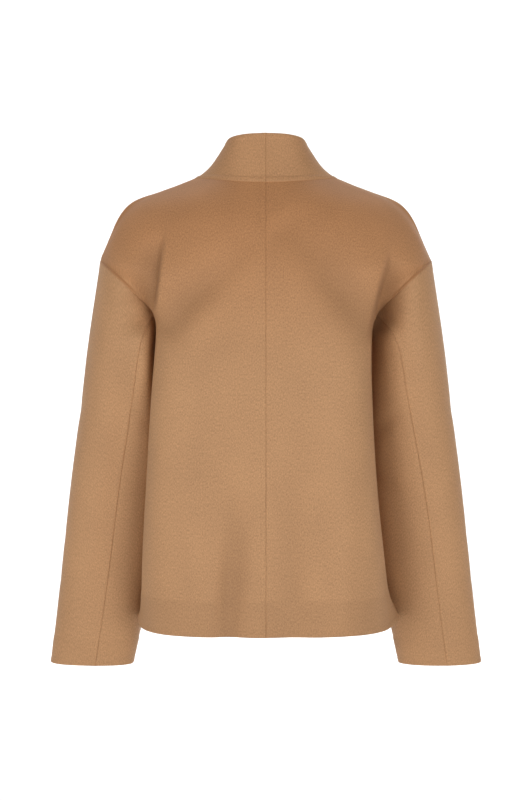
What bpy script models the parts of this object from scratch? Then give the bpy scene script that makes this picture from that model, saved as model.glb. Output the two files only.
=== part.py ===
"""A boxy wool jacket in its worn shape: two backs, two fronts, two-piece sleeves and a funnel collar.

Metres, +Z up. The wearer faces +Y, so the back of the jacket looks along -Y and the right sleeve is at +X.
The origin lies between the two neck points, where the jacket sits on the wearer's shoulders.
"""

import bmesh
import bpy
import numpy as np

# Cloth and seams
WALL = 0.0024           # double-faced wool
SEAM_GAP = 0.0003       # between two pieces at a seam
INNER_SETBACK = 0.0022  # the inner face stops this much short of a seam
WOOL = (0.479, 0.262, 0.136)
WOOL_ROUGHNESS = 0.9
SHARP_EDGE = 50         # degrees; the turns at the cloth's raw edges stay crisp
# A point inside each hollow, on the wearer's right: the wall's inner face looks towards it
BODY_HOLLOW = np.array((0.06, 0.0, -0.30))
NECK_HOLLOW = np.array((0.0, 0.0, 0.02))
ARM_HOLLOW = np.array((0.21, 0.03, -0.40))

# Rows of a body piece: its edge follows the side seam, then the armhole, then the shoulder seam
HEM_ROW, UNDERARM_ROW, TIP_ROW, NECK_ROW = 0, 4, 7, 10
SIDE_CELLS, ARMHOLE_CELLS, SHOULDER_CELLS, ACROSS_CELLS = 13, 12, 9, 14
RELAX_IN, RELAX_OUT, RELAX_PASSES = 0.50, -0.46, 8

# The armhole is a flat oval loop from the shoulder tip to the underarm point
SHOULDER_TIP = np.array((0.2285, 0.004, -0.1156))
UNDERARM = np.array((0.1360, 0.012, -0.2010))
ARMHOLE_HALF_DEPTH = 0.076


def table(columns, *rows):
    """A short table as one array for each named column."""
    return dict(zip(columns.split(), np.array(rows, float).T))


# Back piece, one row for each section: the centre-back point, how far the section runs straight across,
# and the point that pulls it round towards its edge (on the wearer's right and left).
BACK = table(
    "row centre_y centre_z reach_x turn_x_right turn_x_left turn_y turn_z",
    (0.00, -0.1340, -0.6138, 0.130, 0.1690, 0.1740, -0.068, -0.6165),   # hem
    (1.00, -0.1320, -0.5300, 0.128, 0.1820, 0.1880, -0.082, -0.5300),   # hip
    (2.00, -0.1300, -0.4300, 0.130, 0.1690, 0.1860, -0.090, -0.4250),   # waist
    (3.00, -0.1300, -0.3200, 0.138, 0.1620, 0.1720, -0.092, -0.3050),   # chest
    (4.00, -0.1300, -0.2300, 0.149, 0.1490, 0.1520, -0.088, -0.2120),   # underarm
    (4.75, -0.1295, -0.1970, 0.162, 0.1580, 0.1580, -0.085, -0.1960),   # low armhole
    (5.50, -0.1280, -0.1660, 0.188, 0.1400, 0.1400, -0.063, -0.1610),   # back of the armhole
    (6.25, -0.1255, -0.1380, 0.150, 0.1840, 0.1840, -0.079, -0.1290),   # high armhole
    (7.00, -0.1220, -0.1130, 0.132, 0.2330, 0.2330, -0.064, -0.1110),   # shoulder tip
    (8.00, -0.1120, -0.0750, 0.115, 0.1970, 0.1970, -0.062, -0.0490),   # shoulder point
    (9.00, -0.0985, -0.0430, 0.088, 0.1550, 0.1550, -0.055, -0.0250),   # mid shoulder
    (10.0, -0.0830, -0.0150, 0.052, 0.0980, 0.0980, -0.044, -0.0030),   # neckline
)

# Front piece, the same rows: its open front edge, its straight run and its pull towards the side
FRONT = table(
    "row edge_x edge_y edge_z reach_x reach_z turn_x turn_y turn_z",
    (0.00, 0.0110, 0.1270, -0.6180, 0.118, -0.6170, 0.1700, 0.074, -0.6120),   # hem
    (1.00, 0.0100, 0.1240, -0.5350, 0.112, -0.5350, 0.1540, 0.078, -0.5320),   # hip
    (2.00, 0.0090, 0.1220, -0.4400, 0.110, -0.4380, 0.1430, 0.082, -0.4280),   # waist
    (3.00, 0.0085, 0.1240, -0.3400, 0.112, -0.3350, 0.1380, 0.086, -0.3120),   # chest
    (4.00, 0.0080, 0.1270, -0.2600, 0.118, -0.2450, 0.1430, 0.090, -0.2120),   # underarm
    (4.75, 0.0077, 0.1265, -0.2320, 0.128, -0.2180, 0.1500, 0.098, -0.1960),   # low armhole
    (5.50, 0.0073, 0.1250, -0.2060, 0.145, -0.1900, 0.1530, 0.090, -0.1600),   # front of the armhole
    (6.25, 0.0069, 0.1220, -0.1820, 0.136, -0.1630, 0.1850, 0.089, -0.1270),   # high armhole
    (7.00, 0.0065, 0.1170, -0.1580, 0.128, -0.1360, 0.2370, 0.068, -0.1060),   # shoulder tip
    (8.00, 0.0060, 0.1080, -0.1310, 0.108, -0.1040, 0.1970, 0.062, -0.0470),   # shoulder point
    (9.00, 0.0055, 0.0970, -0.1030, 0.080, -0.0770, 0.1550, 0.055, -0.0250),   # mid shoulder
    (10.0, 0.0050, 0.0830, -0.0730, 0.046, -0.0640, 0.0980, 0.046, -0.0060),   # neckline
)

# Side seam from the hem to the underarm point, for the wearer's right and left
SIDE_SEAM = table(
    "row x_right x_left y z",
    (0, 0.1835, 0.1770, 0.000, -0.6065),
    (1, 0.1500, 0.1540, 0.008, -0.5280),
    (2, 0.1375, 0.1420, 0.012, -0.4250),
    (3, 0.1320, 0.1345, 0.013, -0.3080),
    (4, UNDERARM[0], UNDERARM[0], UNDERARM[1], UNDERARM[2]),
)

# Shoulder seam from the shoulder tip up to the neck point; on the wearer's left it is rolled to the back
SHOULDER_SEAM = table(
    "row x y z rolled_back_left",
    (7.00, SHOULDER_TIP[0], SHOULDER_TIP[1], SHOULDER_TIP[2], 0.010),
    (7.60, 0.2122, 0.002, -0.0790, 0.014),
    (8.00, 0.2020, 0.001, -0.0560, 0.014),
    (8.40, 0.1870, 0.000, -0.0375, 0.012),
    (9.00, 0.1555, 0.000, -0.0222, 0.006),
    (9.55, 0.1200, 0.000, -0.0088, 0.002),
    (10.0, 0.0980, 0.000, 0.0000, 0.000),
)

# Funnel collar: share of the way from the neckline to the top edge, and how far it has come in and up
COLLAR_RISE = table(
    "up in_share up_share",
    (0, 0.000, 0.000),
    (1, 0.263, 0.163),
    (2, 0.506, 0.377),
    (3, 0.745, 0.680),
    (4, 1.000, 1.000),
)
COLLAR_CELLS = 5
COLLAR_BASE_HALF_DEPTH = 0.0830
COLLAR_TOP_Z = 0.0520
COLLAR_TOP_HALF_WIDTH = 0.0535
COLLAR_TOP_BACK = -0.0620
COLLAR_TOP_FRONT = 0.0600
COLLAR_FRONT_DROP = 0.0180
COLLAR_EDGE_GAP = 0.0045  # half the opening at the top of the front edge
# Shares of the way from the back to the front where the top edge starts to drop and to draw apart
COLLAR_DROP_START, COLLAR_GAP_START = 0.45, 0.90

# Sleeve rings below the armhole: height, middle and half sizes of each oval, and the lift of its outer end
SLEEVE = table(
    "z middle_x middle_y half_width half_depth outer_lift",
    (-0.2320, 0.1956, 0.0100, 0.0508, 0.0735, 0.0000),  # below the armhole
    (-0.3050, 0.1998, 0.0180, 0.0560, 0.0670, 0.0000),  # biceps
    (-0.4200, 0.2118, 0.0340, 0.0606, 0.0580, 0.0000),  # elbow
    (-0.5500, 0.2270, 0.0490, 0.0610, 0.0490, 0.0010),  # forearm
    (-0.6738, 0.2450, 0.0540, 0.0580, 0.0380, 0.0008),  # cuff
)
SLEEVE_LENGTH_CELLS = 17
ARMHOLE_STEP = 180 / ARMHOLE_CELLS
# Sleeve seams as angles round the arm (0 outside, 90 at the back), from the armhole to the cuff
SLEEVE_SEAMS = table(
    "ring back_right back_left front",
    (0, 135, 135, -135),
    (1, 112, 121, -135),
    (2, 98, 109, -135),
    (3, 86, 100, -135),
    (4, 82, 97, -135),
    (5, 84, 98, -135),
)

# Folds of the back and of the sleeve heads: each runs down from (x0, z0) to (x1, z1), with its depth there
# and how far it spreads towards the wearer's right and left. A positive depth sinks in.
FOLDS = table(
    "x0 z0 depth0 x1 z1 depth1 spread_right spread_left",
    (-0.140, -0.080, 0.000, -0.153, -0.188, 0.008, 0.006, 0.030),  # left armhole crease
    (0.166, -0.105, 0.000, 0.151, -0.190, 0.010, 0.030, 0.007),    # right armhole crease
    (-0.062, -0.400, 0.000, -0.064, -0.620, 0.009, 0.030, 0.010),  # hanging fold left of centre
    (0.030, -0.360, 0.000, 0.036, -0.620, 0.004, 0.022, 0.030),    # shallow fold right of centre
    (-0.030, -0.110, 0.000, -0.120, -0.235, 0.005, 0.022, 0.022),  # drag line to the left underarm
    (0.040, -0.120, 0.000, 0.115, -0.240, 0.005, 0.026, 0.026),    # drag line to the right underarm
)
FOLD_END = 0.020  # a fold dies away over this length past its end
FOLD_BACK_START, FOLD_BACK_FULL = -0.020, -0.055


def smooth(stations, values, at):
    """Natural cubic spline through the values (along their first axis) at the stations."""
    x = np.asarray(stations, float)
    y = np.asarray(values, float)
    step = np.diff(x)
    tail = (1,) * (y.ndim - 1)
    slope = np.diff(y, axis=0) / step.reshape(-1, *tail)
    system = np.eye(len(x))
    right = np.zeros_like(y)
    for i in range(1, len(x) - 1):
        system[i, i - 1: i + 2] = step[i - 1], 2 * (step[i - 1] + step[i]), step[i]
        right[i] = 6 * (slope[i] - slope[i - 1])
    bend = np.linalg.solve(system, right.reshape(len(x), -1)).reshape(y.shape)
    at = np.asarray(at, float)
    i = np.clip(np.searchsorted(x, at) - 1, 0, len(x) - 2)
    shape = at.shape + tail
    h = step[i].reshape(shape)
    b = (at - x[i]).reshape(shape) / h
    a = 1 - b
    return a * y[i] + b * y[i + 1] + ((a**3 - a) * bend[i] + (b**3 - b) * bend[i + 1]) * h**2 / 6


def ramp(low, high, value):
    """0 at low, 1 at high, easing in and out between them."""
    share = np.clip((value - low) / (high - low), 0, 1)
    return share * share * (3 - 2 * share)


def points(x, y, z):
    return np.stack(np.broadcast_arrays(x, y, z), axis=-1).astype(float)


def armhole(angle):
    """Point of the right armhole: 0 degrees at the shoulder tip, 90 at the back, 180 at the underarm."""
    turn = np.radians(np.asarray(angle, float))[..., None]
    middle = (SHOULDER_TIP + UNDERARM) / 2
    half = (SHOULDER_TIP - UNDERARM) / 2
    return middle + np.cos(turn) * half - np.sin(turn) * np.array((0, ARMHOLE_HALF_DEPTH, 0))


def body_edge(rows, side, face):
    """Edge of a body piece at each row, along its seams; face is 1 on the back and -1 on the front."""
    side_points = points(SIDE_SEAM["x_" + side], SIDE_SEAM["y"], SIDE_SEAM["z"])
    low = smooth(SIDE_SEAM["row"], side_points, np.minimum(rows, UNDERARM_ROW))
    share = np.clip((rows - UNDERARM_ROW) / (TIP_ROW - UNDERARM_ROW), 0, 1)
    middle = armhole(face * 180 * (1 - share))
    seam_y = SHOULDER_SEAM["y"] - (SHOULDER_SEAM["rolled_back_left"] if side == "left" else 0)
    shoulder_points = points(SHOULDER_SEAM["x"], seam_y, SHOULDER_SEAM["z"])
    high = smooth(SHOULDER_SEAM["row"], shoulder_points, np.maximum(rows, TIP_ROW))
    edge = np.where((rows < UNDERARM_ROW)[:, None], low, middle)
    return np.where((rows > TIP_ROW)[:, None], high, edge)


def sweep(start, reach, turn, end, across):
    """Bezier section of each row, from its start through the two pulls to its end."""
    t = across[None, :, None]
    return (
        (1 - t)**3 * start[:, None]
        + 3 * (1 - t)**2 * t * reach[:, None]
        + 3 * (1 - t) * t**2 * turn[:, None]
        + t**3 * end[:, None]
    )


def relaxed(surface):
    """The surface with its kinks eased out; its edges stay, and each second pass gives back the size lost."""
    surface = surface.copy()
    for share in (RELAX_IN, RELAX_OUT) * RELAX_PASSES:
        inside = surface[1:-1, 1:-1]
        beside = surface[:-2, 1:-1] + surface[2:, 1:-1] + surface[1:-1, :-2] + surface[1:-1, 2:]
        surface[1:-1, 1:-1] = inside + share * (beside / 4 - inside)
    return surface


def columns(of, names, rows):
    """Points at the given rows from three named columns of a table."""
    return points(*(smooth(of["row"], of[name], rows) for name in names.split()))


def back_surface(rows, across, side):
    """Back piece as if on the wearer's right, from centre back (across 0) to its edge (across 1)."""
    reach = columns(BACK, "reach_x centre_y centre_z", rows)
    start = reach * np.array((0, 1, 1))
    turn = columns(BACK, f"turn_x_{side} turn_y turn_z", rows)
    return relaxed(sweep(start, reach, turn, body_edge(rows, side, 1), across))


def front_surface(rows, across, side):
    """Front piece as if on the wearer's right, from the front edge (across 0) to its side edge (across 1)."""
    start = columns(FRONT, "edge_x edge_y edge_z", rows)
    reach = columns(FRONT, "reach_x edge_y reach_z", rows)
    turn = columns(FRONT, "turn_x turn_y turn_z", rows)
    return relaxed(sweep(start, reach, turn, body_edge(rows, side, -1), across))


def sleeve_surface(angles, along):
    """Right sleeve: rows of points down the arm, each at its own angles round it."""
    turn = np.radians(angles)
    rings = np.arange(len(SLEEVE["z"]) + 1)
    down = []
    for row, share in enumerate(along):
        cos, sin = np.cos(turn[row]), np.sin(turn[row])
        ring_points = [armhole(angles[row])]
        for z, x, y, width, depth, lift in zip(*SLEEVE.values()):
            ring_points.append(points(x + width * cos, y - depth * sin, z + lift * cos))
        down.append(smooth(rings, np.array(ring_points), share))
    return np.array(down)


def collar_surface(base, up):
    """Right collar half: from its seam on the neckline up to the top edge, which drops to the front."""
    turn = np.arctan2(base[:, 1] / COLLAR_BASE_HALF_DEPTH, base[:, 0] / SHOULDER_SEAM["x"][-1])
    turn = -np.pi / 2 + np.pi * (turn - turn[0]) / (turn[-1] - turn[0])
    forward = (1 + np.sin(turn)) / 2
    x = COLLAR_TOP_HALF_WIDTH * np.cos(turn) + COLLAR_EDGE_GAP * ramp(COLLAR_GAP_START, 1, forward)
    y = COLLAR_TOP_BACK + (COLLAR_TOP_FRONT - COLLAR_TOP_BACK) * forward
    top = points(x, y, COLLAR_TOP_Z - COLLAR_FRONT_DROP * ramp(COLLAR_DROP_START, 1, forward))
    come_in = smooth(COLLAR_RISE["up"], COLLAR_RISE["in_share"], up)[:, None, None]
    come_up = smooth(COLLAR_RISE["up"], COLLAR_RISE["up_share"], up)[:, None, None]
    share = np.concatenate([come_in, come_in, come_up], axis=2)
    return base[None] + (top - base)[None] * share


def folded(surface):
    """The folds pressed into what faces the back."""
    x, y, z = np.moveaxis(surface, -1, 0)
    weight = ramp(FOLD_BACK_START, FOLD_BACK_FULL, y)
    sink = np.zeros_like(x)
    for x0, z0, depth0, x1, z1, depth1, right, left in zip(*FOLDS.values()):
        along = np.array((x1 - x0, z1 - z0))
        length = np.hypot(*along)
        along = along / length
        down = np.clip(((x - x0) * along[0] + (z - z0) * along[1]) / length, 0, 1)
        away = (x - x0) * -along[1] + (z - z0) * along[0]
        spread = np.where(away > 0, right, left)
        depth = depth0 + (depth1 - depth0) * ramp(0, 1, down)
        beyond = np.maximum(0, (x - x1) * along[0] + (z - z1) * along[1])
        sink += depth * np.exp(-(away / spread)**2 - (beyond / FOLD_END)**2)
    return surface + points(0, sink * weight, 0)


def mirrored(surface, side):
    return surface * np.array((-1 if side == "left" else 1, 1, 1))


def unit(vectors):
    return vectors / np.linalg.norm(vectors, axis=-1, keepdims=True)


def pulled_in(grid, seams, amount):
    """The grid with its sewn edges, which seams names, moved back by the amount."""
    grid = grid.copy()
    for seam in seams:
        edge, inside = {
            "first_row": (np.s_[0], np.s_[1]),
            "last_row": (np.s_[-1], np.s_[-2]),
            "first_column": (np.s_[:, 0], np.s_[:, 1]),
            "last_column": (np.s_[:, -1], np.s_[:, -2]),
        }[seam]
        grid[edge] += amount * unit(grid[inside] - grid[edge])
    return grid


def outward(grid, hollow):
    """Unit normals of a grid of points, pointing away from the hollow."""
    normal = unit(np.cross(np.gradient(grid, axis=0), np.gradient(grid, axis=1)))
    middle = tuple(n // 2 for n in grid.shape[:2])
    return normal * np.sign(np.dot(normal[middle], grid[middle] - hollow))


def wool_material(name):
    material = bpy.data.materials.new(name)
    material.use_nodes = True
    shader = material.node_tree.nodes["Principled BSDF"]
    shader.inputs["Base Color"].default_value = (*WOOL, 1)
    shader.inputs["Roughness"].default_value = WOOL_ROUGHNESS
    shader.inputs["Metallic"].default_value = 0
    return material


def cloth(name, surface, seams, hollow, collection):
    """A closed wall on a grid of outer points: two grids and the edge that bridges them."""
    outer = pulled_in(surface, seams, SEAM_GAP / 2)
    inner = pulled_in(outer - WALL * outward(outer, hollow), seams, INNER_SETBACK)
    rows, across = outer.shape[:2]
    mesh = bmesh.new()
    loops = []
    for face_points in (outer, inner):
        made = bmesh.ops.create_grid(mesh, x_segments=across - 1, y_segments=rows - 1, size=1)
        for vertex, place in zip(made["verts"], face_points.reshape(-1, 3)):
            vertex.co = place
        loops += [edge for edge in set(e for v in made["verts"] for e in v.link_edges) if edge.is_boundary]
    bmesh.ops.bridge_loops(mesh, edges=loops)
    bmesh.ops.recalc_face_normals(mesh, faces=mesh.faces)
    data = bpy.data.meshes.new(name)
    mesh.to_mesh(data)
    mesh.free()
    data.shade_smooth()
    data.set_sharp_from_angle(angle=np.radians(SHARP_EDGE))
    data.materials.append(wool_material(name + "_wool"))
    piece = bpy.data.objects.new(name, data)
    collection.objects.link(piece)
    return piece


def body_rows():
    """Section rows of the body pieces: finer round the armhole, where they meet the sleeve's points."""
    return np.concatenate([
        np.linspace(HEM_ROW, UNDERARM_ROW, SIDE_CELLS + 1)[:-1],
        np.linspace(UNDERARM_ROW, TIP_ROW, ARMHOLE_CELLS + 1)[:-1],
        np.linspace(TIP_ROW, NECK_ROW, SHOULDER_CELLS + 1),
    ])


def sleeve_angles(seam_from, seam_to, cells):
    """Angles of a sleeve piece: one row down the arm, one column round it, from seam to seam."""
    along = np.linspace(0, len(SLEEVE["z"]), SLEEVE_LENGTH_CELLS + 1)
    first = smooth(SLEEVE_SEAMS["ring"], seam_from, along)
    last = smooth(SLEEVE_SEAMS["ring"], seam_to, along)
    share = np.linspace(0, 1, cells + 1)
    return first[:, None] * (1 - share) + last[:, None] * share, along


def build_body(side, collection):
    """One back, one front and the collar half that is sewn to both."""
    rows = body_rows()
    across = np.linspace(0, 1, ACROSS_CELLS + 1)
    back = back_surface(rows, across, side)
    front = front_surface(rows, across, side)
    hollow = mirrored(BODY_HOLLOW, side)
    back_seams = ("first_column", "last_column", "last_row")
    cloth(f"back_{side}", folded(mirrored(back, side)), back_seams, hollow, collection)
    cloth(f"front_{side}", mirrored(front, side), ("last_column", "last_row"), hollow, collection)
    neckline = np.concatenate([back[-1], front[-1, -2::-1]])
    up = np.linspace(0, COLLAR_RISE["up"][-1], COLLAR_CELLS + 1)
    collar = mirrored(collar_surface(neckline, up), side)
    cloth(f"collar_{side}", collar, ("first_row", "first_column"), NECK_HOLLOW, collection)


def build_sleeve(side, collection):
    """The upper and the under sleeve, from the armhole to the cuff."""
    back_seam, front_seam = SLEEVE_SEAMS["back_" + side], SLEEVE_SEAMS["front"]
    upper_cells = round((back_seam[0] - front_seam[0]) / ARMHOLE_STEP)
    under_cells = 2 * ARMHOLE_CELLS - upper_cells
    hollow = mirrored(ARM_HOLLOW, side)
    seams = ("first_row", "first_column", "last_column")
    for name, seam_from, seam_to, cells in (
        ("upper", front_seam, back_seam, upper_cells),
        ("under", back_seam, front_seam + 360, under_cells),
    ):
        angles, along = sleeve_angles(seam_from, seam_to, cells)
        surface = folded(mirrored(sleeve_surface(angles, along), side))
        cloth(f"sleeve_{name}_{side}", surface, seams, hollow, collection)


def main():
    for old in list(bpy.data.objects):
        bpy.data.objects.remove(old)
    jacket = bpy.data.collections.new("wool_jacket")
    bpy.context.scene.collection.children.link(jacket)
    for side in ("right", "left"):
        build_body(side, jacket)
        build_sleeve(side, jacket)


main()
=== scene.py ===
import math

import bpy
import numpy as np
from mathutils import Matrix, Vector


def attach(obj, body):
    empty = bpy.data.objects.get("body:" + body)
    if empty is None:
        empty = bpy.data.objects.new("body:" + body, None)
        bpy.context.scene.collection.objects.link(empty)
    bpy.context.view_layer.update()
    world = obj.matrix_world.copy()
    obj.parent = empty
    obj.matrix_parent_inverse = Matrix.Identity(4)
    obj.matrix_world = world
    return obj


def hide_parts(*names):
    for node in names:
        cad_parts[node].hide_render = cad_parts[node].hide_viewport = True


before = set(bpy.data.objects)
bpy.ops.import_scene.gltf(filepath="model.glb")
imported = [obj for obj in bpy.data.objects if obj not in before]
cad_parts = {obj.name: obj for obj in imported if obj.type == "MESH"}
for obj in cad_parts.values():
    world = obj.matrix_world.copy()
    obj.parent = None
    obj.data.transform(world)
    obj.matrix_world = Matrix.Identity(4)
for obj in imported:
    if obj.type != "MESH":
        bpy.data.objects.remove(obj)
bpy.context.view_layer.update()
print("frame loaded:", len(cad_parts), "pieces")

# Metres, +Z up; the wearer faces +Y, so the camera looks at the jacket's back along +Y.
# A piece of cloth is a grid of points: rows run up the body or down the arm, columns run across.


# a short table as one array for each named column
def tableOf(names, *rows):
    return dict(zip(names.split(), np.array(rows, float).T))


# 0 at low, 1 at high, and 3s^2 - 2s^3 of the share s between them
def ease(low, high, value):
    share = np.clip((value - low) / (high - low), 0, 1)
    return share * share * (3 - 2 * share)


def xyz(x, y, z):
    return np.stack(np.broadcast_arrays(x, y, z), axis=-1).astype(float)


# tables and sections are drawn on the wearer's right; the left is their mirror image
def toSide(points, side):
    return np.asarray(points) * np.array((-1 if side == "Left" else 1, 1, 1))


def unit(vectors):
    return vectors / np.maximum(np.linalg.norm(vectors, axis=-1, keepdims=True), 1e-12)


# natural cubic spline along the first axis: its second slopes solve a three-band system
def spline(stations, values, at):
    x, y, at = np.asarray(stations, float), np.asarray(values, float), np.asarray(at, float)
    step = np.diff(x)
    tail = (1,) * (y.ndim - 1)
    slope = np.diff(y, axis=0) / step.reshape(-1, *tail)
    inner = np.arange(1, len(x) - 1)
    system = np.eye(len(x))
    system[inner, inner - 1] = step[:-1]
    system[inner, inner] = 2 * (step[:-1] + step[1:])
    system[inner, inner + 1] = step[1:]
    right = np.zeros_like(y)
    right[1:-1] = 6 * np.diff(slope, axis=0)
    bend = np.linalg.solve(system, right.reshape(len(x), -1)).reshape(y.shape)
    i = np.clip(np.searchsorted(x, at) - 1, 0, len(x) - 2)
    h = step[i].reshape(at.shape + tail)
    b = (at - x[i]).reshape(at.shape + tail) / h
    a = 1 - b
    return a * y[i] + b * y[i + 1] + ((a**3 - a) * bend[i] + (b**3 - b) * bend[i + 1]) * h**2 / 6


# length run along an axis of a grid, from its first row or column
def runAlong(grid, axis):
    step = np.linalg.norm(np.diff(grid, axis=axis), axis=-1)
    start = np.zeros_like(step.take([0], axis=axis))
    return np.concatenate([start, np.cumsum(step, axis=axis)], axis=axis)


# steps of the grids: fine within reach of seams and edges, coarser between them
gridSteps = {
    "fine": 0.0007, "reach": 0.008, "backRow": 0.0032, "backAcross": 0.0020, "frontAcross": 0.0030,
    "sleeveRow": 0.0034, "sleeveAcross": 0.0028, "collar": 0.0026, "samples": 6001,
}
hemDepth = {"body": 0.045, "cuff": 0.035}  # of the turn-ups


# places from 0 to 1 whose spacing shrinks from a coarse to the fine step near the given distances
def gradedPlaces(length, fineAt, coarse):
    s = np.linspace(0, length, gridSteps["samples"])
    near = np.max([np.exp(-((s - at) / gridSteps["reach"]) ** 2) for at in fineAt], axis=0)
    spacing = coarse + (gridSteps["fine"] - coarse) * near
    count = np.concatenate([[0], np.cumsum(np.diff(s) * 2 / (spacing[1:] + spacing[:-1]))])
    return np.interp(np.linspace(0, count[-1], math.ceil(count[-1]) + 1), count, s) / length


# Body sections. Each row of the tables is a section from the hem (0) past the underarm (4) and the
# shoulder tip (7) to the neckline (10), drawn as a Bezier curve from the middle to the side edge.
bodyRows = {"hem": 0, "underarm": 4, "tip": 7, "neck": 10}
bodyCells = {"side": 13, "armhole": 12, "shoulder": 9, "across": 14}
bodyRelax = {"in": 0.50, "out": -0.46, "passes": 50, "edgeFrom": 0.88}
faceSign = {"back": 1, "front": -1}  # which half of the armhole, and which way along Y the hollow lies
shoulderTip = np.array((0.2285, 0.004, -0.1156))
underarm = np.array((0.1360, 0.012, -0.2010))
armholeHalfDepth = 0.076

backSections = tableOf(
    "row middleY middleZ reachX turnXright turnXleft turnY turnZ",
    (0.00, -0.1340, -0.6138, 0.145, 0.1690, 0.1740, -0.080, -0.6165),
    (1.00, -0.1320, -0.5300, 0.147, 0.1840, 0.1970, -0.103, -0.5300),
    (2.00, -0.1300, -0.4300, 0.149, 0.1680, 0.1930, -0.110, -0.4250),
    (3.00, -0.1300, -0.3200, 0.154, 0.1570, 0.1830, -0.109, -0.3050),
    (4.00, -0.1300, -0.2300, 0.158, 0.1490, 0.1600, -0.094, -0.2120),
    (4.75, -0.1295, -0.1970, 0.162, 0.1580, 0.1580, -0.085, -0.1960),
    (5.50, -0.1280, -0.1660, 0.188, 0.1400, 0.1400, -0.063, -0.1610),
    (6.25, -0.1255, -0.1380, 0.150, 0.1840, 0.1840, -0.079, -0.1290),
    (7.00, -0.1220, -0.1130, 0.132, 0.2330, 0.2330, -0.064, -0.1110),
    (8.00, -0.1120, -0.0750, 0.115, 0.1970, 0.1970, -0.062, -0.0490),
    (9.00, -0.0985, -0.0430, 0.088, 0.1550, 0.1550, -0.055, -0.0250),
    (10.0, -0.0830, -0.0150, 0.052, 0.0980, 0.0980, -0.044, -0.0030),
)
frontSections = tableOf(
    "row edgeX edgeY edgeZ reachX reachZ turnX turnY turnZ",
    (0.00, 0.0110, 0.1270, -0.6180, 0.118, -0.6170, 0.1700, 0.074, -0.6120),
    (1.00, 0.0100, 0.1240, -0.5350, 0.112, -0.5350, 0.1540, 0.078, -0.5320),
    (2.00, 0.0090, 0.1220, -0.4400, 0.110, -0.4380, 0.1430, 0.082, -0.4280),
    (3.00, 0.0085, 0.1240, -0.3400, 0.112, -0.3350, 0.1380, 0.086, -0.3120),
    (4.00, 0.0080, 0.1270, -0.2600, 0.118, -0.2450, 0.1430, 0.090, -0.2120),
    (4.75, 0.0077, 0.1265, -0.2320, 0.128, -0.2180, 0.1500, 0.098, -0.1960),
    (5.50, 0.0073, 0.1250, -0.2060, 0.145, -0.1900, 0.1530, 0.090, -0.1600),
    (6.25, 0.0069, 0.1220, -0.1820, 0.136, -0.1630, 0.1850, 0.089, -0.1270),
    (7.00, 0.0065, 0.1170, -0.1580, 0.128, -0.1360, 0.2370, 0.068, -0.1060),
    (8.00, 0.0060, 0.1080, -0.1310, 0.108, -0.1040, 0.1970, 0.062, -0.0470),
    (9.00, 0.0055, 0.0970, -0.1030, 0.080, -0.0770, 0.1550, 0.055, -0.0250),
    (10.0, 0.0050, 0.0830, -0.0730, 0.046, -0.0640, 0.0980, 0.046, -0.0060),
)
sideSeam = tableOf(
    "row xRight xLeft y z",
    (0, 0.1830, 0.1755, 0.000, -0.6050),
    (1, 0.1520, 0.1550, 0.008, -0.5280),
    (2, 0.1375, 0.1420, 0.012, -0.4250),
    (3, 0.1320, 0.1345, 0.013, -0.3080),
    (4, *underarm[[0, 0, 1, 2]]),
)
shoulderSeam = tableOf(
    "row x y z rolledBackLeft",
    (7.00, *shoulderTip, 0.010),
    (7.60, 0.2122, 0.002, -0.0790, 0.014),
    (8.00, 0.2020, 0.001, -0.0560, 0.014),
    (8.40, 0.1870, 0.000, -0.0375, 0.012),
    (9.00, 0.1555, 0.000, -0.0234, 0.006),
    (9.55, 0.1200, 0.000, -0.0106, 0.002),
    (10.0, 0.0975, 0.000, -0.0012, 0.000),
)


# the right armhole is an oval loop: 0 degrees at the shoulder tip, 90 at the back, 180 at the underarm
def armholePoint(angle):
    turn = np.radians(np.asarray(angle, float))[..., None]
    middle, half = (shoulderTip + underarm) / 2, (shoulderTip - underarm) / 2
    return middle + np.cos(turn) * half - np.sin(turn) * np.array((0, armholeHalfDepth, 0))


# side edge of a body piece: side seam, then half the armhole, then the shoulder seam
def bodyEdge(rows, side, face):
    seam = xyz(sideSeam["x" + side], sideSeam["y"], sideSeam["z"])
    low = spline(sideSeam["row"], seam, np.minimum(rows, bodyRows["underarm"]))
    share = np.clip((rows - bodyRows["underarm"]) / (bodyRows["tip"] - bodyRows["underarm"]), 0, 1)
    rolled = shoulderSeam["rolledBackLeft"] * (side == "Left")
    ridge = xyz(shoulderSeam["x"], shoulderSeam["y"] - rolled, shoulderSeam["z"])
    high = spline(shoulderSeam["row"], ridge, np.maximum(rows, bodyRows["tip"]))
    edge = np.where((rows < bodyRows["underarm"])[:, None], low, armholePoint(face * 180 * (1 - share)))
    return np.where((rows > bodyRows["tip"])[:, None], high, edge)


# each section is the Bezier curve (1-t)^3 start + 3(1-t)^2 t reach + 3(1-t)t^2 turn + t^3 end
def sections(start, reach, turn, end, across):
    t = across[None, :, None]
    return ((1 - t)**3 * start[:, None] + 3 * (1 - t)**2 * t * reach[:, None]
            + 3 * (1 - t) * t**2 * turn[:, None] + t**3 * end[:, None])


# inside points move towards the mean of their four neighbours and back, so kinks go and size stays
def relaxed(grid):
    grid = grid.copy()
    for share in (bodyRelax["in"], bodyRelax["out"]) * bodyRelax["passes"]:
        beside = grid[:-2, 1:-1] + grid[2:, 1:-1] + grid[1:-1, :-2] + grid[1:-1, 2:]
        grid[1:-1, 1:-1] += share * (beside / 4 - grid[1:-1, 1:-1])
    return grid


def sectionPoints(table, names, rows):
    return xyz(*(spline(table["row"], table[name], rows) for name in names.split()))


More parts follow.
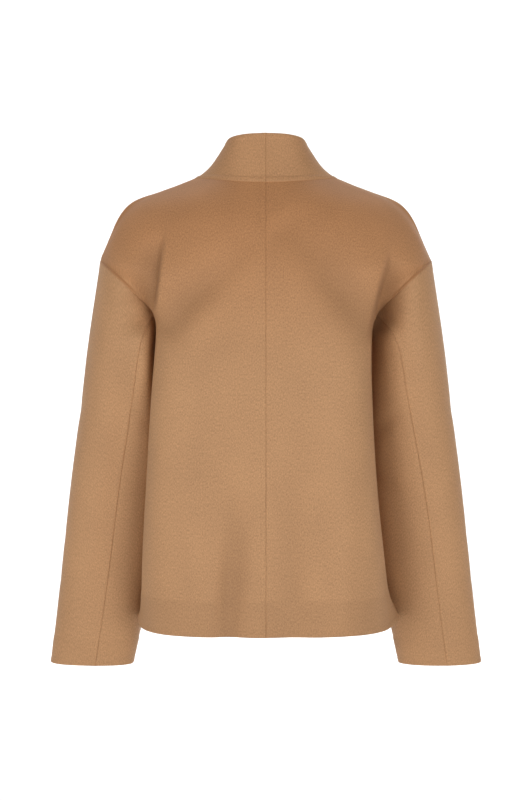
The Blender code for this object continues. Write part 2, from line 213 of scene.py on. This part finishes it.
# coarse grid of a back or a front: its sections from hem to neckline, relaxed
def coarseBody(kind, side):
    marks = [bodyRows[name] for name in ("hem", "underarm", "tip", "neck")]
    cells = [bodyCells[name] for name in ("side", "armhole", "shoulder")]
    parts = [np.linspace(a, b, n + 1)[:-1] for a, b, n in zip(marks, marks[1:], cells)]
    rows = np.concatenate([*parts, [bodyRows["neck"]]])
    across = np.linspace(0, 1, bodyCells["across"] + 1)
    if kind == "back":
        reach = sectionPoints(backSections, "reachX middleY middleZ", rows)
        start = reach * np.array((0, 1, 1))
        turn = sectionPoints(backSections, f"turnX{side.lower()} turnY turnZ", rows)
    else:
        start = sectionPoints(frontSections, "edgeX edgeY edgeZ", rows)
        reach = sectionPoints(frontSections, "reachX edgeY reachZ", rows)
        turn = sectionPoints(frontSections, "turnX turnY turnZ", rows)
    end = bodyEdge(rows, side, faceSign[kind])
    return rows, across, relaxed(sections(start, reach, turn, end, across))


# fine rows, the same for back and front so that their seams meet point for point
def fineBodyRows(rows, grid):
    run = runAlong(grid, 0).mean(axis=1)
    length = run[-1]
    places = gradedPlaces(length, (0, hemDepth["body"], length), gridSteps["backRow"])
    fine = np.interp(places * length, run, rows)
    for corner in (bodyRows["underarm"], bodyRows["tip"]):
        fine[np.argmin(abs(fine - corner))] = corner
    return fine


# the relaxed sections, splined along rows and columns; the side edge is put back on its seam
def fineBody(kind, side, fineRows):
    rows, across, grid = coarseBody(kind, side)
    run = runAlong(grid, 1).mean(axis=0)
    length = run[-1]
    places = gradedPlaces(length, (0, length), gridSteps[kind + "Across"])
    fineAcross = np.interp(places * length, run, across)
    steps = np.arange(len(rows))
    grid = spline(steps, grid, np.interp(fineRows, rows, steps))
    grid = spline(across, grid.swapaxes(0, 1), fineAcross).swapaxes(0, 1)
    slip = bodyEdge(fineRows, side, faceSign[kind]) - grid[:, -1]
    return grid + slip[:, None] * ease(bodyRelax["edgeFrom"], 1, fineAcross)[None, :, None]


# Folds of the body: each runs down from (x0, z0) to (x1, z1), with its depth at both ends and how far
# it spreads to the wearer's right and left. A positive depth sinks in, a negative one stands out.
backFolds = tableOf(
    "x0 z0 depth0 x1 z1 depth1 right left",
    (-0.136, -0.076, 0.001, -0.147, -0.160, 0.017, 0.0030, 0.030),  # left armhole crease
    (-0.157, -0.226, -0.018, -0.166, -0.470, 0.000, 0.009, 0.030),  # left sleeve lies against the body
    (0.170, -0.100, 0.001, 0.149, -0.192, 0.024, 0.026, 0.0050),    # right armhole crease
    (-0.034, -0.390, 0.001, -0.049, -0.610, 0.011, 0.021, 0.018),   # hanging fold left of centre
    (0.032, -0.340, 0.001, 0.036, -0.620, 0.006, 0.020, 0.026),     # shallow fold right of centre
    (-0.088, -0.300, 0.000, -0.092, -0.590, -0.004, 0.020, 0.022),  # soft ridge of the left back
    (0.100, -0.300, 0.000, 0.104, -0.590, -0.005, 0.024, 0.024),    # soft ridge of the right back
    (0.152, -0.500, 0.000, 0.166, -0.600, 0.006, 0.016, 0.004),     # facet where the right hem kicks out
    (-0.028, -0.104, 0.003, -0.130, -0.206, 0.010, 0.022, 0.028),   # drag line to the left underarm
    (0.034, -0.084, 0.005, 0.138, -0.206, 0.010, 0.038, 0.030),     # drag line to the right underarm
)
frontFolds = tableOf(
    "x0 z0 depth0 x1 z1 depth1 right left",
    (-0.150, -0.090, 0.000, -0.150, -0.195, 0.006, 0.008, 0.026),   # left armhole crease
    (0.152, -0.095, 0.000, 0.149, -0.195, 0.006, 0.026, 0.008),     # right armhole crease
    (-0.050, -0.330, 0.000, -0.062, -0.622, 0.006, 0.024, 0.014),   # hanging fold of the left front
    (0.072, -0.380, 0.000, 0.066, -0.622, 0.007, 0.013, 0.028),     # hanging fold of the right front
    (-0.058, -0.130, 0.000, -0.118, -0.250, 0.004, 0.022, 0.022),   # drag line to the left underarm
    (0.050, -0.120, 0.000, 0.122, -0.246, 0.004, 0.024, 0.020),     # drag line to the right underarm
)
foldsOf = {"back": backFolds, "front": frontFolds}
foldReach = {"fade": 0.035, "grow": 0.7, "end": 0.020, "start": -0.020, "full": 0.050}


# depth times exp(-(distance to the fold's line / spread)^2), pushed along Y towards the hollow; gives
# the moved points and the depth at each of them
def folded(grid, face):
    inward = faceSign[face]
    x, y, z = np.moveaxis(grid, -1, 0)
    weight = ease(foldReach["start"], foldReach["full"], -inward * y)
    sink = np.zeros_like(x)
    for x0, z0, depth0, x1, z1, depth1, right, left in zip(*foldsOf[face].values()):
        length = math.hypot(x1 - x0, z1 - z0)
        ax, az = (x1 - x0) / length, (z1 - z0) / length
        down = (x - x0) * ax + (z - z0) * az
        away = (z - z0) * ax - (x - x0) * az
        depth = depth0 + (depth1 - depth0) * ease(0, foldReach["grow"] * length, down)
        depth = depth * ease(-foldReach["fade"], 0, down)
        beyond = np.maximum(0, down - length)
        spread = np.where(away > 0, right, left)
        sink += depth * np.exp(-(away / spread)**2 - (beyond / foldReach["end"])**2)
    sink = sink * weight
    return grid + xyz(0, inward * sink, 0), sink


# Sleeve rings below the armhole: height, middle and half sizes of each oval, the lift of its outer
# end, and how boxy its outer half and each arm's inner half are: 2 gives an ellipse, more pushes the
# corners out.
sleeveRings = tableOf(
    "z middleX middleY halfWidth halfDepth outerLift boxyOuter boxyRight boxyLeft",
    (-0.2320, 0.1956, 0.0100, 0.0508, 0.0735, 0.0000, 2.0, 2.0, 2.8),
    (-0.3050, 0.1990, 0.0180, 0.0568, 0.0670, 0.0000, 2.1, 2.0, 3.8),
    (-0.4200, 0.2100, 0.0340, 0.0624, 0.0580, 0.0000, 2.2, 1.9, 3.6),
    (-0.5500, 0.2250, 0.0490, 0.0630, 0.0490, 0.0010, 2.2, 1.9, 3.0),
    (-0.6738, 0.2450, 0.0540, 0.0580, 0.0380, 0.0008, 2.2, 2.0, 2.6),
)
# Sleeve seams as angles round the arm, from the armhole (0) past each ring to the cuff
sleeveSeams = tableOf(
    "ring backRight backLeft front",
    (0, 135, 135, -135),
    (1, 112, 121, -135),
    (2, 98, 109, -135),
    (3, 86, 100, -135),
    (4, 82, 97, -135),
    (5, 84, 98, -135),
)
roughSleeve = {"rows": 61, "columns": 41}
# Sleeve creases: angle and height of the middle, half length round the arm, slope, depth and spread
sleeveCreases = tableOf(
    "angle z halfTurn slope depth spread",
    (60, -0.545, 45, 0.010, 0.0014, 0.010),
    (120, -0.330, 50, -0.030, 0.0022, 0.014),
    (150, -0.420, 45, 0.020, 0.0018, 0.013),
    (-70, -0.360, 60, 0.030, 0.0050, 0.016),
    (-110, -0.440, 50, -0.024, 0.0042, 0.013),
    (-60, -0.520, 45, 0.016, 0.0030, 0.012),
)


# points of the sleeve: ring k gives (x + w c, y - d s) with c and s on a rounded box, and a natural
# spline's weights carry the rings down the arm; creases sink towards the arm's middle
def sleevePoints(angles, along, side):
    turn = np.radians(angles)
    cos, sin = np.cos(turn), np.sin(turn)
    stations = len(sleeveRings["z"]) + 1
    weights = spline(np.arange(stations), np.eye(stations), along)
    grid = weights[:, 0, None, None] * armholePoint(angles)
    names = ("z", "middleX", "middleY", "halfWidth", "halfDepth", "outerLift", "boxyOuter", "boxy" + side)
    rings = zip(*(sleeveRings[name] for name in names))
    for k, (z, x, y, width, depth, lift, outer, inner) in enumerate(rings):
        boxy = np.where(cos < 0, inner, outer)
        square = (abs(cos)**boxy + abs(sin)**boxy)**(-1 / boxy)
        ring = xyz(x + width * cos * square, y - depth * sin * square, z + lift * cos)
        grid = grid + weights[:, k + 1, None, None] * ring
    sink = np.zeros_like(turn)
    for angle, z, halfTurn, slope, depth, spread in zip(*sleeveCreases.values()):
        off = (angles - angle + 180) % 360 - 180
        height = grid[..., 2] - z - slope * off / halfTurn
        sink += depth * np.exp(-(off / halfTurn)**2 - (height / spread)**2)
    return grid - sink[..., None] * xyz(cos, -sin, 0)


# a sleeve piece between two seams; a rough grid measures it, and the fine one follows its lengths
def fineSleeve(seamFrom, seamTo, side):
    def piecePoints(along, share):
        start = spline(sleeveSeams["ring"], seamFrom, along)[:, None]
        end = spline(sleeveSeams["ring"], seamTo, along)[:, None]
        return sleevePoints(start * (1 - share) + end * share, along, side)

    along = np.linspace(0, len(sleeveRings["z"]), roughSleeve["rows"])
    share = np.linspace(0, 1, roughSleeve["columns"])
    rough = piecePoints(along, share)
    down, girth = runAlong(rough, 0).mean(axis=1), runAlong(rough, 1).mean(axis=0)
    marks = (0, down[-1] - hemDepth["cuff"], down[-1])
    fineDown = gradedPlaces(down[-1], marks, gridSteps["sleeveRow"]) * down[-1]
    fineGirth = gradedPlaces(girth[-1], (0, girth[-1]), gridSteps["sleeveAcross"]) * girth[-1]
    return piecePoints(np.interp(fineDown, down, along), np.interp(fineGirth, girth, share))


# Funnel collar: its top edge is a squared oval that arches over the back and drops to the front
collarShape = {
    "baseHalfDepth": 0.0830, "topZ": 0.0492, "topHalfWidth": 0.0535, "topBack": -0.0755, "topFront": 0.0600,
    "boxy": 3.4, "arch": 0.0034, "frontDrop": 0.0140, "dropStart": 0.45, "edgeGap": 0.0045, "gapStart": 0.90,
}
collarRise = tableOf(
    "up inShare upShare",
    (0, 0.000, 0.000),
    (1, 0.263, 0.163),
    (2, 0.506, 0.377),
    (3, 0.745, 0.680),
    (4, 1.000, 1.000),
)


# each point of the neckline rises to the top edge's point at the same turn, by shares in and up
def fineCollar(base):
    shape = collarShape
    turn = np.arctan2(base[:, 1] / shape["baseHalfDepth"], base[:, 0] / shoulderSeam["x"][-1])
    turn = -np.pi / 2 + np.pi * (turn - turn[0]) / (turn[-1] - turn[0])
    cos, sin = np.cos(turn), np.sin(turn)
    square = (abs(cos)**shape["boxy"] + abs(sin)**shape["boxy"])**(-1 / shape["boxy"])
    forward = (1 + sin * square) / 2
    x = shape["topHalfWidth"] * cos * square + shape["edgeGap"] * ease(shape["gapStart"], 1, forward)
    y = shape["topBack"] + (shape["topFront"] - shape["topBack"]) * forward
    arch = shape["arch"] * np.where(sin < 0, (cos * square)**2, 1)
    top = xyz(x, y, shape["topZ"] - arch - shape["frontDrop"] * ease(shape["dropStart"], 1, forward))
    height = np.linalg.norm(top - base, axis=1).mean()
    up = gradedPlaces(height, (0, height), gridSteps["collar"]) * collarRise["up"][-1]
    comeIn = spline(collarRise["up"], collarRise["inShare"], up)
    comeUp = spline(collarRise["up"], collarRise["upShare"], up)
    return base[None] + (top - base)[None] * xyz(comeIn, comeIn, comeUp)[:, None]


# Sewing. Beside a seam the cloth puffs up a little; a felled seam and the collar's lapped edge also have a
# raised band, where turned-in edges lie under the cloth; a hem has a deep turn-up inside.
clothWall = {"wall": 0.0024, "seamWall": 0.0014, "taper": 0.0025, "rimLoops": 4, "lap": 0.0003}
plainEdge = {"sewn": False, "puff": 0, "band": 0, "bandWidth": 0.0060, "turnUp": 0, "layer": 0, "pressed": 0}
hiddenSeam = {**plainEdge, "sewn": True}
plainSeam = {**hiddenSeam, "puff": 0.0003}
felledSeam = {**hiddenSeam, "puff": 0.0002, "band": 0.0006}
lappedEdge = {**plainEdge, "band": 0.0009, "bandWidth": 0.0056}
freeEdge = {**plainEdge, "band": 0.0005, "bandWidth": 0.0055, "layer": 0.0010}
# a hem's turn-up band gets painted shade where the cloth turns under
bodyHem = {**plainEdge, "band": 0.0003, "bandWidth": 0.0050, "turnUp": hemDepth["body"], "layer": 0.0016,
           "pressed": 0.3}
cuffHem = {**bodyHem, "turnUp": hemDepth["cuff"], "pressed": 0.1}
sewing = {
    "rise": 0.0011, "puffReach": 0.006, "puffFade": 0.016, "uneven": 0.30,
    "ripples": ((0.0087, 0.0), (0.0151, 1.3), (0.0043, 0.7)),  # length over 2 pi, and shift
    "bandSoft": 0.0010, "dip": 0.0001, "turnUpSoft": 0.0025, "turnUpLift": 0.0005,
    "layerSoft": 0.001, "pressedSoft": 0.004,
    # groove and hollow set how dark the painted shade in seam grooves and deep fold hollows gets
    "groove": 0.34, "hollow": 0.75, "hollowDepth": 0.013,      # how dark seams and deep folds get
}


# 1 before a place, 0 after it, easing over the soft stretch on both sides
def upTo(place, soft, distance):
    return 1 - ease(place - soft, place + soft, distance)


# lift of the cloth at a distance from an edge; the run along the edge makes the puff uneven
def edgeLift(finish, distance, run):
    width, soft = finish["bandWidth"], sewing["bandSoft"]
    wave = sum(np.sin(run / length + shift) for length, shift in sewing["ripples"])
    grow = ease(0, sewing["rise"], distance) if finish["sewn"] else 1
    puff = finish["puff"] * grow * (1 - ease(sewing["puffReach"], sewing["puffFade"], distance))
    band = finish["band"] * grow * upTo(width, soft, distance)
    dip = sewing["dip"] * (finish["band"] > 0) * np.exp(-((distance - width - soft) / soft)**2)
    step = sewing["turnUpLift"] * (finish["turnUp"] > 0)
    fold = step * upTo(finish["turnUp"], sewing["turnUpSoft"], distance)
    return puff * (1 + sewing["uneven"] * wave / len(sewing["ripples"])) + band - dip + fold


# unit normals of a grid from its two slopes, turned away from a point in the hollow
def outward(grid, inside):
    normal = unit(np.cross(np.gradient(grid, axis=0), np.gradient(grid, axis=1)))
    middle = tuple(n // 2 for n in grid.shape[:2])
    turned = np.sign(np.dot(normal[middle], grid[middle] - inside))
    return normal * turned, turned


# for each edge of a grid, the distance from it and the run along it
def edgeDistances(grid):
    down, over = runAlong(grid, 0), runAlong(grid, 1)
    return {
        "firstRow": (down, over), "lastRow": (down[-1:] - down, over),
        "firstColumn": (over, down), "lastColumn": (over[:, -1:] - over, down),
    }


# thickness of the wall, thin at seams and doubled at turn-ups, and the share of painted shade in seam
# grooves, deep folds and hem bands
def wallAndShade(edges, distances, sink):
    thick = np.full(sink.shape, clothWall["wall"])
    # painted shade in deep fold hollows, growing with the fold's depth
    shade = sewing["hollow"] * ease(0, sewing["hollowDepth"], sink)
    thin = clothWall["seamWall"] / clothWall["wall"]
    for edge, finish in edges.items():
        distance = distances[edge][0]
        if finish["sewn"]:
            thick *= thin + (1 - thin) * ease(0, clothWall["taper"], distance)
            # painted shade in the seam's groove
            shade = np.maximum(shade, sewing["groove"] * (1 - ease(0, sewing["rise"], distance)))
        depth = finish["turnUp"] or 2 * finish["bandWidth"]
        thick += finish["layer"] * upTo(depth, sewing["layerSoft"], distance)
        # painted shade over a hem's turn-up band
        shade = np.maximum(shade, finish["pressed"] * upTo(depth, sewing["pressedSoft"], distance))
    return thick, shade


# loops that round off the wall's edge: middle + half thickness * cos + reach * sin; sewn edges lap a little
def roundRims(outer, inner, edges, ring):
    reach = {edge: clothWall["lap"] if finish["sewn"] else (clothWall["wall"] + finish["layer"]) / 2
             for edge, finish in edges.items()}
    away = np.zeros_like(outer)
    away[0] += reach["firstRow"] * unit(outer[0] - outer[1])
    away[-1] += reach["lastRow"] * unit(outer[-1] - outer[-2])
    away[:, 0] += reach["firstColumn"] * unit(outer[:, 0] - outer[:, 1])
    away[:, -1] += reach["lastColumn"] * unit(outer[:, -1] - outer[:, -2])
    outerRing, innerRing, awayRing = (grid.reshape(-1, 3)[ring] for grid in (outer, inner, away))
    half = (outerRing - innerRing) / 2
    turns = np.pi * np.arange(1, clothWall["rimLoops"]) / clothWall["rimLoops"]
    return [(outerRing + innerRing) / 2 + half * np.cos(turn) + awayRing * np.sin(turn) for turn in turns]


# quads of the outer grid, the inner grid and the rims between them
def wallFaces(index, ring, rimCount):
    count, around = index.size, len(ring)
    loops = [ring, *(2 * count + k * around + np.arange(around) for k in range(rimCount)), ring + count]
    quads = np.stack([index[:-1, :-1], index[:-1, 1:], index[1:, 1:], index[1:, :-1]], axis=-1).reshape(-1, 4)
    rims = [np.stack([np.roll(a, -1), a, b, np.roll(b, -1)], axis=-1) for a, b in zip(loops, loops[1:])]
    return np.concatenate([quads, quads[:, ::-1] + count, *rims])


def clothMesh(name, places, faces, clothUv, shares):
    mesh = bpy.data.meshes.new(name)
    mesh.vertices.add(len(places))
    mesh.vertices.foreach_set("co", places.astype(np.float32).ravel())
    mesh.loops.add(faces.size)
    mesh.loops.foreach_set("vertex_index", faces.astype(np.int32).ravel())
    mesh.polygons.add(len(faces))
    mesh.polygons.foreach_set("loop_start", np.arange(0, faces.size, 4, dtype=np.int32))
    mesh.update(calc_edges=True)
    uv = mesh.uv_layers.new(name="cloth").uv
    uv.foreach_set("vector", clothUv[faces.ravel()].astype(np.float32).ravel())
    for label, share in shares.items():
        attribute = mesh.attributes.new(label, "FLOAT", "POINT")
        attribute.data.foreach_set("value", share.astype(np.float32).ravel())
    mesh.validate()
    mesh.shade_smooth()
    mesh.materials.append(woolCloth)
    return mesh


# the two camel tones come at random; the tint after them darkens and richens the upper body as painted shade,
# and the seam colour is the painted shade of seam grooves, deep folds and hem bands
woolLook = {
    "light": (0.569, 0.313, 0.1515, 1), "dark": (0.367, 0.1995, 0.097, 1),
    "upperShade": (0.97, 0.845, 0.75, 1), "seam": (0.205, 0.102, 0.045, 1), "shadeShare": 0.45,
    "tufts": {"size": 0.0020, "stretch": 0.60, "detail": 3, "share": 1.2},
    "fuzz": {"size": 0.0011, "stretch": 0.45, "detail": 2, "share": 2.0},
    "clouds": {"size": 0.060, "stretch": 0.70, "detail": 2, "share": 0.5},
    "roughness": 0.62, "specular": 0.2, "bumpDepth": 0.0005, "bumpStrength": 0.35,
    "sheen": 0.04, "sheenRoughness": 0.45, "sheenTint": (0.95, 0.85, 0.75, 1),
}


# brushed wool: fine fuzz and coarser tufts mix two tones of camel, slow clouds shift them a little, painted
# shade darkens and richens the upper body by its share, painted shade darkens seam grooves, deep folds and
# hem bands, and tufts and fuzz raise the surface
def makeWool():
    look = woolLook
    material = bpy.data.materials.new("camelWool")
    material.use_nodes = True
    nodes, links = material.node_tree.nodes, material.node_tree.links
    shader = nodes["Principled BSDF"]
    shader.inputs["Roughness"].default_value = look["roughness"]
    shader.inputs["Specular IOR Level"].default_value = look["specular"]
    shader.inputs["Sheen Weight"].default_value = look["sheen"]
    shader.inputs["Sheen Roughness"].default_value = look["sheenRoughness"]
    shader.inputs["Sheen Tint"].default_value = look["sheenTint"]
    where = nodes.new("ShaderNodeTexCoord")

    def put(socket, value):
        if isinstance(value, bpy.types.NodeSocket):
            links.new(value, socket)
        else:
            socket.default_value = value

    def noise(name):
        size, stretch = look[name]["size"], look[name]["stretch"]
        place = nodes.new("ShaderNodeMapping")
        place.inputs["Scale"].default_value = (1 / size, stretch / size, 1 / size)
        links.new(where.outputs["UV"], place.inputs["Vector"])
        made = nodes.new("ShaderNodeTexNoise")
        made.inputs["Scale"].default_value = 1
        made.inputs["Detail"].default_value = look[name]["detail"]
        links.new(place.outputs["Vector"], made.inputs["Vector"])
        return made.outputs["Fac"]

    def maths(operation, *values):
        made = nodes.new("ShaderNodeMath")
        made.operation = operation
        for socket, value in zip(made.inputs, values):
            put(socket, value)
        return made.outputs["Value"]

    def mixed(kind, first, second, share):
        made = nodes.new("ShaderNodeMix")
        made.data_type = "RGBA"
        made.blend_type = kind
        for name, value in (("A", first), ("B", second), ("Factor", share)):
            put(made.inputs[name], value)
        return made.outputs["Result"]

    def shareOf(label):
        made = nodes.new("ShaderNodeAttribute")
        made.attribute_name = label
        return made.outputs["Fac"]

    noises = {name: noise(name) for name in ("tufts", "fuzz", "clouds")}
    tone = 0.5 - 0.5 * sum(look[name]["share"] for name in noises)
    for name, made in noises.items():
        tone = maths("MULTIPLY_ADD", made, look[name]["share"], tone)
    camel = mixed("MIX", look["dark"], look["light"], tone)
    # painted shade: the upper body's colour is multiplied darker and richer by its share
    camel = mixed("MULTIPLY", camel, look["upperShade"], shareOf("paintedUpperShade"))
    # painted shade of seam grooves, deep folds and hem bands: the colour is mixed towards the dark seam
    # colour
    groove = maths("MULTIPLY", shareOf("paintedShade"), look["shadeShare"])
    put(shader.inputs["Base Color"], mixed("MIX", camel, look["seam"], groove))
    bump = nodes.new("ShaderNodeBump")
    bump.inputs["Strength"].default_value = look["bumpStrength"]
    bump.inputs["Distance"].default_value = look["bumpDepth"]
    put(bump.inputs["Height"], maths("ADD", noises["tufts"], noises["fuzz"]))
    put(shader.inputs["Normal"], bump.outputs["Normal"])
    return material


woolCloth = makeWool()
print("wool ready")

# for each piece: the cut of what shows in metres of flat cloth, a point in its hollow on the wearer's right,
# and how strongly painted shade darkens and richens its colour at the shoulders compared with low down
clothPieces = {
    "back": {"flat": (0.288, 0.608), "area": 0.159, "inside": (0.06, 0.00, -0.30), "upperShade": 1.0},
    "front": {"flat": (0.283, 0.575), "area": 0.129, "inside": (0.06, 0.00, -0.30), "upperShade": 0.3},
    "collar": {"flat": (0.298, 0.109), "area": 0.0178, "inside": (0.00, 0.00, 0.02), "upperShade": 0.25},
    "sleeve_upper": {"flat": (0.330, 0.570), "area": 0.132, "inside": (0.21, 0.03, -0.40), "upperShade": 0},
    "sleeve_under": {"flat": (0.149, 0.524), "area": 0.066, "inside": (0.21, 0.03, -0.40), "upperShade": 0},
}
paintedUpperShade = {"from": -0.30, "full": -0.03}   # heights between which the painted shade of the upper body grows
cutFrom = {"Right": 0.0, "Left": 1.7}      # start along the cloth, so that the nap isn't mirrored


# a closed wall on a grid, with a UV map in metres of cloth and the shares of painted shade in seams, folds
# and hems and of painted shade on the upper body
def makeCloth(kind, side, grid, sink, edges):
    look = clothPieces[kind]
    name = f"{kind}_{side.lower()}"
    inside = toSide(look["inside"], side)
    lift = sum(edgeLift(edges[edge], *where) for edge, where in edgeDistances(grid).items())
    outer = grid + lift[..., None] * outward(grid, inside)[0]
    normal, turned = outward(outer, inside)
    distances = edgeDistances(outer)
    thick, shade = wallAndShade(edges, distances, sink)
    inner = outer - thick[..., None] * normal
    index = np.arange(sink.size).reshape(sink.shape)
    ring = np.concatenate([index[0], index[1:, -1], index[-1, -2::-1], index[-2:0:-1, 0]])
    rims = roundRims(outer, inner, edges, ring)
    faces = wallFaces(index, ring, len(rims))
    if turned > 0:
        faces = faces[:, ::-1]

    def overWall(values):
        values = values.reshape(sink.size, -1)
        return np.concatenate([values, values, *([values[ring]] * len(rims))])

    places = np.concatenate([outer.reshape(-1, 3), inner.reshape(-1, 3), *rims])
    cloth = np.stack([distances["firstColumn"][0] + cutFrom[side], distances["firstRow"][0]], axis=-1)
    # share of painted shade on the upper body, growing with height
    upperShadeShare = look["upperShade"] * ease(paintedUpperShade["from"], paintedUpperShade["full"], grid[..., 2])
    shares = {"paintedShade": overWall(shade), "paintedUpperShade": overWall(upperShadeShare)}
    piece = bpy.data.objects.new(name + "_cloth", clothMesh(name, places, faces, overWall(cloth), shares))
    bpy.context.scene.collection.objects.link(piece)
    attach(piece, "root")
    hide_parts(name)
    print(f"{name}: {sink.shape[0]} x {sink.shape[1]} points")


def sewnEdges(firstRow, lastRow, firstColumn, lastColumn):
    return {"firstRow": firstRow, "lastRow": lastRow, "firstColumn": firstColumn, "lastColumn": lastColumn}


for side in ("Right", "Left"):
    centreBack = felledSeam if side == "Left" else plainSeam
    fineRows = fineBodyRows(*coarseBody("back", side)[::2])
    back, front = fineBody("back", side, fineRows), fineBody("front", side, fineRows)
    collar = toSide(fineCollar(np.concatenate([back[-1], front[-1, -2::-1]])), side)
    makeCloth("back", side, *folded(toSide(back, side), "back"),
              sewnEdges(bodyHem, hiddenSeam, centreBack, felledSeam))
    makeCloth("front", side, *folded(toSide(front, side), "front"),
              sewnEdges(bodyHem, hiddenSeam, freeEdge, felledSeam))
    makeCloth("collar", side, collar, np.zeros(collar.shape[:2]),
              sewnEdges(lappedEdge, freeEdge, centreBack, freeEdge))
    backSeam, frontSeam = sleeveSeams["back" + side], sleeveSeams["front"]
    for kind, seamFrom, seamTo, seam in (
        ("sleeve_upper", frontSeam, backSeam, felledSeam),
        ("sleeve_under", backSeam, frontSeam + 360, plainSeam),
    ):
        sleeve, backSink = folded(toSide(fineSleeve(seamFrom, seamTo, side), side), "back")
        sleeve, frontSink = folded(sleeve, "front")
        makeCloth(kind, side, sleeve, backSink + frontSink, sewnEdges(plainSeam, cuffHem, seam, seam))
print("jacket sewn")

stageLook = {"floorZ": -0.92, "flat": 3.2, "rim": 5.0, "wall": 2.6, "rings": 60, "spokes": 96,
             "white": (0.93, 0.93, 0.93, 1)}


# round studio floor: flat in the middle, then z = wall * s^2 up the share s of the way to its rim
def makeFloor():
    look = stageLook
    r = np.linspace(0, look["rim"], look["rings"])[:, None]
    turn = np.linspace(0, 2 * np.pi, look["spokes"] + 1)[:-1]
    rise = np.clip((r - look["flat"]) / (look["rim"] - look["flat"]), 0, 1)**2
    places = xyz(r * np.cos(turn), r * np.sin(turn), look["floorZ"] + look["wall"] * rise)
    index = np.arange(look["rings"] * look["spokes"]).reshape(look["rings"], look["spokes"])
    after = np.roll(index, -1, axis=1)
    faces = np.stack([index[:-1], index[1:], after[1:], after[:-1]], axis=-1).reshape(-1, 4)
    mesh = bpy.data.meshes.new("floor")
    mesh.from_pydata(places.reshape(-1, 3).tolist(), [], faces.tolist())
    mesh.shade_smooth()
    material = bpy.data.materials.new("paleFloor")
    material.use_nodes = True
    shader = material.node_tree.nodes["Principled BSDF"]
    shader.inputs["Base Color"].default_value = look["white"]
    shader.inputs["Roughness"].default_value = 1
    mesh.materials.append(material)
    floor = bpy.data.objects.new("floor", mesh)
    bpy.context.scene.collection.objects.link(floor)


makeFloor()

lightLook = {
    "world": 0.22, "worldColour": (1, 1, 1, 1),
    "softLeft": {"place": (-1.60, -2.4, -0.42), "aim": (0, 0, -0.36), "size": (1.2, 0.95), "power": 24.5},
    "softRight": {"place": (1.20, -2.6, -0.42), "aim": (0, 0, -0.36), "size": (1.2, 0.95), "power": 27.9},
    "softFront": {"place": (0.6, 2.7, 0.3), "aim": (0, 0, -0.36), "size": (1.8, 1.6), "power": 15},
    "backdrop": {"place": (0, 0.9, 1.9), "aim": (0, 4.2, -0.6), "size": (3.0, 1.0), "power": 150},
}


def makeLights():
    world = bpy.data.worlds.new("studio")
    world.use_nodes = True
    background = world.node_tree.nodes["Background"]
    background.inputs["Color"].default_value = lightLook["worldColour"]
    background.inputs["Strength"].default_value = lightLook["world"]
    bpy.context.scene.world = world
    for name in ("softLeft", "softRight", "softFront", "backdrop"):
        look = lightLook[name]
        lamp = bpy.data.lights.new(name, "AREA")
        lamp.shape = "RECTANGLE"
        lamp.size, lamp.size_y = look["size"]
        lamp.energy = look["power"]
        light = bpy.data.objects.new(name, lamp)
        light.location = look["place"]
        light.rotation_euler = (Vector(look["aim"]) - light.location).to_track_quat("-Z", "Y").to_euler()
        light.visible_camera = False
        bpy.context.scene.collection.objects.link(light)


makeLights()

cameraLook = {"place": (-0.00207, -2.3, -0.306), "lens": 50.01, "sensor": 24}
lens = bpy.data.cameras.new("camera")
lens.sensor_fit = "VERTICAL"
lens.sensor_height = cameraLook["sensor"]
lens.lens = cameraLook["lens"]
camera = bpy.data.objects.new("camera", lens)
camera.location = cameraLook["place"]
camera.rotation_euler = (math.pi / 2, 0, 0)  # level, along +Y
bpy.context.scene.collection.objects.link(camera)
bpy.context.scene.camera = camera
bpy.context.scene.view_settings.view_transform = "Standard"
print("stage, lights and camera ready")
